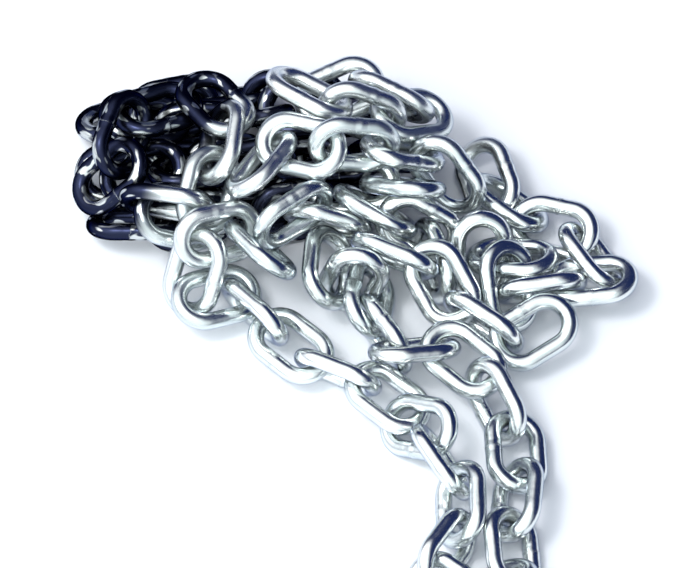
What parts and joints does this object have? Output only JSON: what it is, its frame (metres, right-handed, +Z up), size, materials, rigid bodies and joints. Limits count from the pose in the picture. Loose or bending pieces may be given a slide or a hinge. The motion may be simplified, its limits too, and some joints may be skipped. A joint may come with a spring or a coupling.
{
  "type": "heap of chain",
  "caption": "Heap of short-link welded steel chain, bright zinc plated, spread over the floor from a low mound with a long bight and a side loop.",
  "frame": {"origin": "middle of the flat underside of the core, on the surface that the heap rests on", "axes": "+Z up, -Y toward the bight that runs out over the floor, +X toward the side loop"},
  "size_m": [0.2388, 0.2657, 0.0639],
  "materials": {
    "zinc_plate": "bright zinc plate",
    "dull_zinc": "bright zinc plate seen in deep shade"
  },
  "bodies": {
    "root": {"front_run_01": "zinc_plate", "front_run_02": "zinc_plate", "front_run_03": "zinc_plate", "front_run_04": "zinc_plate", "front_run_05": "zinc_plate", "front_run_06": "zinc_plate", "front_run_07": "zinc_plate", "front_run_08": "zinc_plate", "front_run_09": "zinc_plate", "front_run_10": "zinc_plate", "front_run_11": "zinc_plate", "front_run_12": "zinc_plate", "front_run_13": "zinc_plate", "front_run_14": "zinc_plate", "front_run_15": "zinc_plate", "front_run_16": "zinc_plate", "front_run_17": "zinc_plate", "front_run_18": "zinc_plate", "front_run_19": "zinc_plate", "front_run_20": "zinc_plate", "front_run_21": "zinc_plate", "front_run_22": "zinc_plate", "front_run_23": "zinc_plate", "front_run_24": "zinc_plate", "middle_run_01": "zinc_plate", "middle_run_02": "zinc_plate", "middle_run_03": "zinc_plate", "middle_run_04": "zinc_plate", "middle_run_05": "zinc_plate", "middle_run_06": "zinc_plate", "top_run_01": "zinc_plate", "top_run_02": "zinc_plate", "top_run_03": "zinc_plate", "top_run_04": "zinc_plate", "top_run_05": "zinc_plate", "top_run_06": "zinc_plate", "top_run_07": "zinc_plate", "top_run_08": "zinc_plate", "top_run_09": "zinc_plate", "top_run_10": "zinc_plate", "top_run_11": "zinc_plate", "top_run_12": "zinc_plate", "top_run_13": "zinc_plate", "top_run_14": "zinc_plate", "back_run_01": "zinc_plate", "back_run_02": "zinc_plate", "back_run_03": "zinc_plate", "back_run_04": "zinc_plate", "back_run_05": "dull_zinc", "crest_run_01": "zinc_plate", "crest_run_02": "zinc_plate", "crest_run_03": "zinc_plate", "crest_run_04": "zinc_plate", "crest_run_05": "zinc_plate", "inner_run_01": "dull_zinc", "inner_run_02": "dull_zinc", "inner_run_03": "dull_zinc", "inner_run_04": "dull_zinc", "inner_run_05": "dull_zinc", "core": "dull_zinc"}
  },
  "joints": []
}
